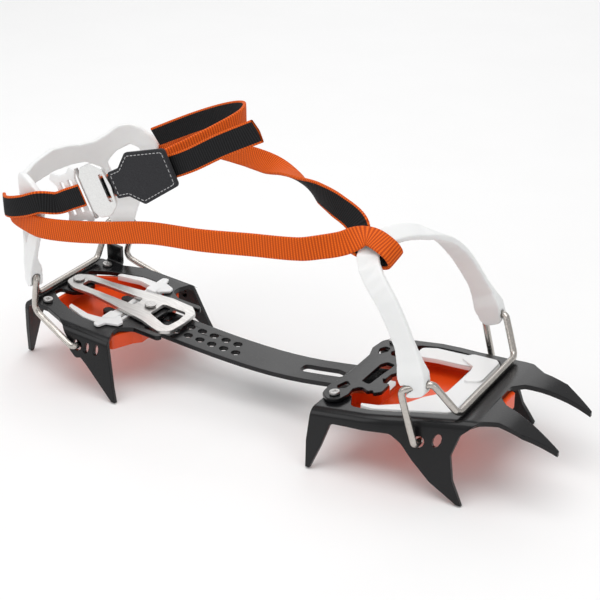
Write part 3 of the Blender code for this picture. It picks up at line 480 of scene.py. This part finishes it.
class Path:
    """A smooth line through stations, with the way across the webbing at every point."""

    def __init__(self, stations, samples=16):
        points = [Vector(s[0]) for s in stations]
        across = [Vector(s[1]).normalized() for s in stations]
        self.points, self.across, self.lengths = [], [], [0.0]
        for i in range(len(points) - 1):
            for k in range(samples):
                self.points.append(self.between(points, i, k / samples))
                self.across.append(across[i].lerp(across[i + 1], k / samples))
        self.points.append(points[-1])
        self.across.append(across[-1])
        for a, b in zip(self.points, self.points[1:]):
            self.lengths.append(self.lengths[-1] + (b - a).length)
        self.length = self.lengths[-1]

    @staticmethod
    def between(points, i, t):
        """Hermite curve from point i to the next; the slopes allow for uneven spacing."""
        p1, p2 = points[i], points[i + 1]
        p0 = points[i - 1] if i else 2 * p1 - p2
        p3 = points[i + 2] if i + 2 < len(points) else 2 * p2 - p1
        chord = (p2 - p1).length
        m1 = (p2 - p0) / (chord + (p1 - p0).length) * chord
        m2 = (p3 - p1) / ((p3 - p2).length + chord) * chord
        return ((2 * t**3 - 3 * t**2 + 1) * p1 + (t**3 - 2 * t**2 + t) * m1
                + (3 * t**2 - 2 * t**3) * p2 + (t**3 - t**2) * m2)

    def tangent(self, i):
        last = len(self.points) - 1
        return (self.points[min(i + 1, last)] - self.points[max(i - 1, 0)]).normalized()

    def at(self, u, v, w):
        """u along the path, v across the webbing, w off its face, all in millimetres."""
        u = min(max(u, 0.0), self.length)
        i = 0
        while i < len(self.lengths) - 2 and self.lengths[i + 1] < u:
            i += 1
        t = (u - self.lengths[i]) / (self.lengths[i + 1] - self.lengths[i])
        tangent = self.tangent(i).lerp(self.tangent(i + 1), t).normalized()
        side = self.across[i].lerp(self.across[i + 1], t)
        side = (side - tangent * side.dot(tangent)).normalized()
        return self.points[i].lerp(self.points[i + 1], t) + side * v + tangent.cross(side) * w

    def reaches(self, x):
        """How far along the path it first comes down to x, once it has left the front loop."""
        for i, point in enumerate(self.points):
            if i > START_TURN and point.x < x:
                return self.lengths[i]
        return self.length


def world(point):
    """The drawing's millimetres as the frame's metres."""
    return Vector(((point.x + FRAME_SHIFT) * MM, point.y * MM, point.z * MM))


print("path helper ready")

# %% [markdown]
# ## Weaving one length of strap
# A length starts as a flat grid. Its rows are wrapped round a slim section with rounded edges, its
# columns are carried along the path, and each weft rib lifts the surface a little. The seam is
# merged and the ends are closed. The straps are modelled directly rather than simulated, because
# stiff webbing under light tension holds the shape that it is given.

# %% Strap helper
STRAP_HALF = 5.6             # mm, half the webbing's width
STRAP_THICK = 1.5
RIB_RISE = 0.15
ROUND = 24                   # columns round the section
EDGE_THICK = 0.62            # the selvedge's thickness beside the middle's
EDGE_PULL = 0.35             # how much closer the columns lie towards the middle
STEP = RIB_PITCH / MM / 4    # four rows to a rib
SEAM = 0.000005              # m, points closer than this are one


def section(k):
    """Point k of the webbing's section: across, off the face, and whether it is the inner face."""
    steps = ROUND // 2
    inner = k % ROUND >= steps
    t = (k % steps) / (steps - 1)
    v = -math.cos(math.pi * t) * STRAP_HALF
    if 0 < t < 1:
        v *= 1 - EDGE_PULL * (1 - abs(v) / STRAP_HALF)
    lift = STRAP_THICK / 2 * (EDGE_THICK if t in (0, 1) else 1.0)
    return (-v, -lift, 1.0) if inner else (v, lift, 0.0)


def strap_piece(name, path, start, end, flip, slant=0.0):
    """Webbing along the path from start to end; flip says which face is the black one."""
    rows = max(4, round((end - start) / STEP))
    bm = bmesh.new()
    weave = bm.loops.layers.uv.new("weave")
    bmesh.ops.create_grid(bm, x_segments=rows, y_segments=ROUND, size=1.0, calc_uvs=True)
    inner = bm.verts.layers.float.new("inner_face")
    for face in bm.faces:
        for loop in face.loops:
            u = start + (loop.vert.co.x + 1) / 2 * (end - start)
            v = section(round((loop.vert.co.y + 1) / 2 * ROUND))[0]
            loop[weave].uv = (v * MM, u * MM)
    for vert in bm.verts:
        t = (vert.co.x + 1) / 2
        u = start + t * (end - start)
        last_part = max(0.0, t * 6 - 5)
        v, w, face_side = section(round((vert.co.y + 1) / 2 * ROUND))
        rib = math.cos(2 * math.pi * u * MM / RIB_PITCH) * RIB_RISE
        rib *= 1 - abs(v / STRAP_HALF) ** 6
        vert[inner] = face_side if flip > 0 else 1.0 - face_side
        vert.co = world(path.at(u + slant * v * last_part, v, w + math.copysign(rib, w)))
    bmesh.ops.remove_doubles(bm, verts=bm.verts, dist=SEAM)
    ends = [e for e in bm.edges if e.is_boundary]
    for e in ends:
        e.smooth = False
    bmesh.ops.holes_fill(bm, edges=ends, sides=0)
    for face in bm.faces:
        face.smooth = len(face.verts) < 5
    if bm.calc_volume(signed=True) < 0:
        bmesh.ops.reverse_faces(bm, faces=bm.faces)
    mesh = bpy.data.meshes.new(name)
    bm.to_mesh(mesh)
    bm.free()
    mesh.materials.append(webbing)
    obj = bpy.data.objects.new(name, mesh)
    bpy.context.scene.collection.objects.link(obj)
    print(name, len(mesh.polygons), "faces,", round(end - start, 1), "mm")
    return obj


# %% [markdown]
# ## Where the strap turns round the front loop
# The webbing hangs on the front loop, so its first stations are measured off the loop's own line.

# %% Front loop line
SIDE = (0.9, 0, 0.44)
TOP = (0.92, 0, -0.38)
loop_line = Path([
    ((51, -42.6, 51), SIDE), ((43.1, -41.4, 73.1), SIDE), ((33.1, -39, 89.7), (0.95, 0, 0.3)),
    ((22.8, -35, 100.3), (0.98, 0, 0.1)), ((17.5, -30, 107), (0.98, 0.1, -0.1)),
    ((17.7, -22, 110.9), (0.95, 0.1, -0.3)),
    ((21.2, -8, 111), TOP), ((26.1, 7, 107), TOP), ((30.9, 19, 100.6), (0.98, 0, 0)),
    ((35.4, 28, 91.4), (0.95, 0, 0.3)), ((40.1, 35, 79.2), SIDE), ((45.4, 40, 65.6), SIDE),
    ((51, 42.6, 51), SIDE)], 10)
TURN_AT = 75.0


def on_loop(v, w):
    ahead = loop_line.at(TURN_AT + 5, 0, 0) - loop_line.at(TURN_AT - 5, 0, 0)
    return loop_line.at(TURN_AT, v, w), ahead


print("front loop", round(loop_line.length, 1), "mm along its middle")

# %% [markdown]
# ## Where the strap meets the buckle
# The buckle lies flat against the boot's near side, tilted up towards the toe. Its own directions
# are along the strap, up across it, and out from the boot.

# %% Buckle directions
buckle_middle = Vector((-126.0, -47.6, 114.4))
buckle_along = Vector((0.905, -0.02, 0.425)).normalized()
buckle_out = Vector((0.02, -1, 0)).normalized()
buckle_up = buckle_out.cross(buckle_along).normalized()


def on_buckle(u, v, w):
    return buckle_middle + buckle_along * u + buckle_up * v + buckle_out * w


# %% [markdown]
# ## The near and the far run
# Both runs cross from the front loop to the heel, over joints that move: the front bail, the toe
# plate, the bar and the heel bail. Real webbing stretches and swings between them. Each run is cut
# into lengths there, and only the last length is attached to the heel bail.

# %% Stations of the two runs
near_path = Path([
    on_loop(-1, 5.6), on_loop(7.6, 5.5), on_loop(12, 1.0), on_loop(7.6, -3.6), on_loop(-4, -3.7),
    ((6, -33.5, 112.0), (0, 0.5, 0.85)), ((-2, -38.5, 110.4), (0, 0.15, 1)),
    ((-11.5, -42, 108.6), UP), ((-35.6, -45, 106.5), UP), ((-60.4, -48, 104.3), UP),
    ((-88.7, -49.5, 102.4), UP),
    ((-113, -51.5, 98.0), UP), ((-138, -51.2, 93.4), UP), ((-155, -50.6, 91.6), UP),
    ((-166, -48.2, 92.0), UP),
    ((-176, -44.4, 92.6), (0, 0.05, 1)), ((-181, -40.5, 93.2), (0, 0.1, 1))])
far_path = Path([
    on_loop(-2.2, 5.6), on_loop(-8, 5.8), ((4, -15, 114), (-0.1, 0.7, 0.7)),
    ((-12, -6, 117), (0, 0.5, 0.85)), ((-27, 3.5, 116.8), (-0.1, 0, 1)),
    ((-40, 12, 116.2), (-0.37, -0.62, 0.69)),
    ((-54, 21, 116), (-0.5, -0.85, 0.1)), ((-70, 28.5, 115.2), (-0.4, -0.6, -0.7)),
    ((-88, 35.6, 113.7), (0, -0.15, -1)), ((-115, 44, 111), DOWN), ((-138, 50.2, 107), DOWN),
    ((-155, 51.6, 100), DOWN), ((-160, 51.2, 98.4), DOWN)])
print("near run", round(near_path.length), "mm, far run", round(far_path.length), "mm")


# %% Lengths of the two runs
def run(side, path, cuts, replaced, flip):
    """Lengths of one run between the cuts; the last one is attached to the heel bail."""
    marks = [0.0] + [path.reaches(x) for x in cuts]
    for i, (start, end) in enumerate(zip(marks, marks[1:])):
        obj = strap_piece(f"strap_{side}_{i + 1}", path, start, end, flip)
        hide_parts(replaced)
        world(path.at(start, 0, 0))
        world(path.at(end, 0, 0))
        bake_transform(obj)
    last = strap_piece(f"strap_{side}_{len(marks)}", path, marks[-1], path.length, flip)
    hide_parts(replaced)
    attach(last, "heel_bail_body")


run("near", near_path, (-43, -53, -100, -156), "strap_near", -1)
run("far", far_path, (-43, -53, -100, -150), "strap_far", 1)

# %% [markdown]
# ## The laced end, the return and the tail
# At the heel the webbing is doubled back, black face out, laced over and under the two bars of the
# frame, clamped by the plate, and its spare length is turned into a loop and ends in a free tail.

# %% Laced end, return and tail
laced_path = Path([
    ((-182, -43.6, 96.2), UP), ((-177.5, -47.8, 97.2), UP), ((-171, -50.6, 99.0), (-0.12, 0, 1)),
    ((-162, -51.9, 102.0), (-0.28, 0, 0.96)), ((-153, -51.7, 105.5), (-0.4, 0, 0.91)),
    (on_buckle(-20.5, 0, 1.0), buckle_up), (on_buckle(-11, 0, 0.9), buckle_up),
    (on_buckle(-3.2, 0, 0.7), buckle_up)])
return_path = Path([
    ((-150, 44.0, 110), (-0.2, -0.2, 1)), ((-122, 42, 124), UP), ((-100, 37, 134), UP),
    ((-84, 28, 140), UP),
    ((-79, 16, 140), UP), ((-84, 0, 136), UP), ((-96, -20, 129), UP), ((-108, -36, 122.5), UP),
    ((-117, -43.5, 117.5), UP)])
tail_path = Path([
    (on_buckle(3.5, 0, -0.6), buckle_up), (on_buckle(20, 0, -1.2), buckle_up),
    (on_buckle(42, 0, -1.6), buckle_up),
    ((-67, -47.6, 142), (-0.5, 0.1, 0.85)), ((-49, -47, 152.7), (-0.5, 0.1, 0.85)),
    ((-29.5, -46, 163), (-0.5, 0.1, 0.85))])
TAIL_SLANT = -0.3            # the tail's end is cut at an angle
for name, path, slant in (("strap_laced", laced_path, 0.0), ("strap_return", return_path, 0.0),
                          ("strap_tail", tail_path, TAIL_SLANT)):
    obj = strap_piece(name + "_woven", path, 0.0, path.length, -1, slant)
    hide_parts(name)
    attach(obj, "heel_bail_body")

# %% [markdown]
# ## Stitching on the pull tab
# A line of pale lockstitch runs round the tab, a little in from its edge, and closes the hem. Each
# stitch is one short rounded bead of thread that dips into the felt at both ends, so we make one
# sphere, draw it out, and set a copy at each step of the line, on both faces.

# %% Tab stitches
STITCH_PITCH = 2.3           # mm
STITCH_LENGTH = 1.7
STITCH_THICK = 0.42
STITCH_FLAT = 0.8            # the beads are pressed a little flat
STITCH_FACES = 40            # faces in one bead
TAB_LEVEL = 1.7
TAB_THICK = 2.0
TAB_FACES = (TAB_LEVEL + TAB_THICK / 2, TAB_LEVEL - TAB_THICK / 2)
TAB_EDGE = ((21.2, 0), (21.2, 5.2), (27.4, 5.7), (34.9, 11.3), (55.0, 8.0), (55.9, 7.2), (55.9, 0))


def stitch_line(corners, pitch):
    """Points and directions at even steps along a line of corners."""
    found = []
    for a, b in zip(corners, corners[1:]):
        a, b = Vector(a), Vector(b)
        count = max(1, round((b - a).length / pitch))
        for k in range(count):
            found.append((a.lerp(b, (k + 0.5) / count), (b - a).normalized()))
    return found


whole_edge = list(TAB_EDGE) + [(u, -v) for u, v in reversed(TAB_EDGE[:-1])]
bm = bmesh.new()
for middle, way in stitch_line(whole_edge, STITCH_PITCH):
    for level in TAB_FACES:
        made = bmesh.ops.create_uvsphere(bm, u_segments=8, v_segments=5, radius=0.5)
        for vert in made["verts"]:
            along, side = vert.co.z * STITCH_LENGTH, vert.co.x * STITCH_THICK
            rise = vert.co.y * STITCH_THICK * STITCH_FLAT
            u = middle.x + way.x * along - way.y * side
            v = middle.y + way.y * along + way.x * side
            vert.co = world(on_buckle(u, v, level + rise))
for face in bm.faces:
    face.smooth = True
bmesh.ops.recalc_face_normals(bm, faces=bm.faces)
stitch_mesh = bpy.data.meshes.new("tab_stitching")
bm.to_mesh(stitch_mesh)
bm.free()
stitch_mesh.materials.append(thread)
stitching = bpy.data.objects.new("tab_stitching", stitch_mesh)
bpy.context.scene.collection.objects.link(stitching)
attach(stitching, "buckle_body")
print("stitches", len(stitch_mesh.polygons) // STITCH_FACES)

# %% [markdown]
# ## Floor and lamps
# The floor is a plain pale sweep just under the points. One large lamp overhead gives the long soft
# highlights on the bends. Weaker ones fill from the left and the right, a fourth from behind lights
# the rims, and the white surroundings do the rest.

# %% Floor
FLOOR_GAP = 0.0002
FLOOR_REACH = 6.0
floor_level = cad_box[0][2] - FLOOR_GAP
bm = bmesh.new()
bmesh.ops.create_grid(bm, x_segments=1, y_segments=1, size=FLOOR_REACH)
bmesh.ops.translate(bm, vec=(0, 0, floor_level), verts=bm.verts)
floor_mesh = bpy.data.meshes.new("floor")
bm.to_mesh(floor_mesh)
bm.free()
floor = bpy.data.objects.new("floor", floor_mesh)
bpy.context.scene.collection.objects.link(floor)
floor_mat, nodes, links, shader = new_material("pale_floor")
grain = noise(nodes, links, stretch(nodes, links, EVEN), 12.0)
pale = mix_colours(nodes, links, grain, (0.90, 0.90, 0.90), (0.93, 0.93, 0.93))
links.new(pale, shader.inputs["Base Color"])
shader.inputs["Roughness"].default_value = 0.9
floor_mesh.materials.append(floor_mat)
print("floor at", round(floor_level, 5))


# %% Lamps
LIT_POINT = Vector((0, 0, 0.06))


def lamp(name, place, size, power):
    """A soft round lamp, in metres and watts, turned to the middle of the crampon."""
    data = bpy.data.lights.new(name, "AREA")
    data.shape = "DISK"
    data.size = size
    data.energy = power
    obj = bpy.data.objects.new(name, data)
    obj.location = place
    obj.rotation_euler = (LIT_POINT - Vector(place)).to_track_quat("-Z", "Y").to_euler()
    bpy.context.scene.collection.objects.link(obj)


lamp("key", (-0.1, -0.2, 1.3), 1.3, 9.5)
lamp("left_fill", (-0.75, -0.95, 0.7), 0.8, 2.2)
lamp("right_fill", (1.1, -0.5, 0.5), 0.6, 1.2)
lamp("rim", (-0.4, 1.1, 0.8), 0.9, 2.5)
surroundings = bpy.data.worlds.new("white_surroundings")
surroundings.use_nodes = True
background = surroundings.node_tree.nodes["Background"]
background.inputs["Color"].default_value = (1, 1, 1, 1)
background.inputs["Strength"].default_value = 0.55
bpy.context.scene.world = surroundings
bpy.context.scene.view_settings.view_transform = "Standard"
print("four lamps and white surroundings")
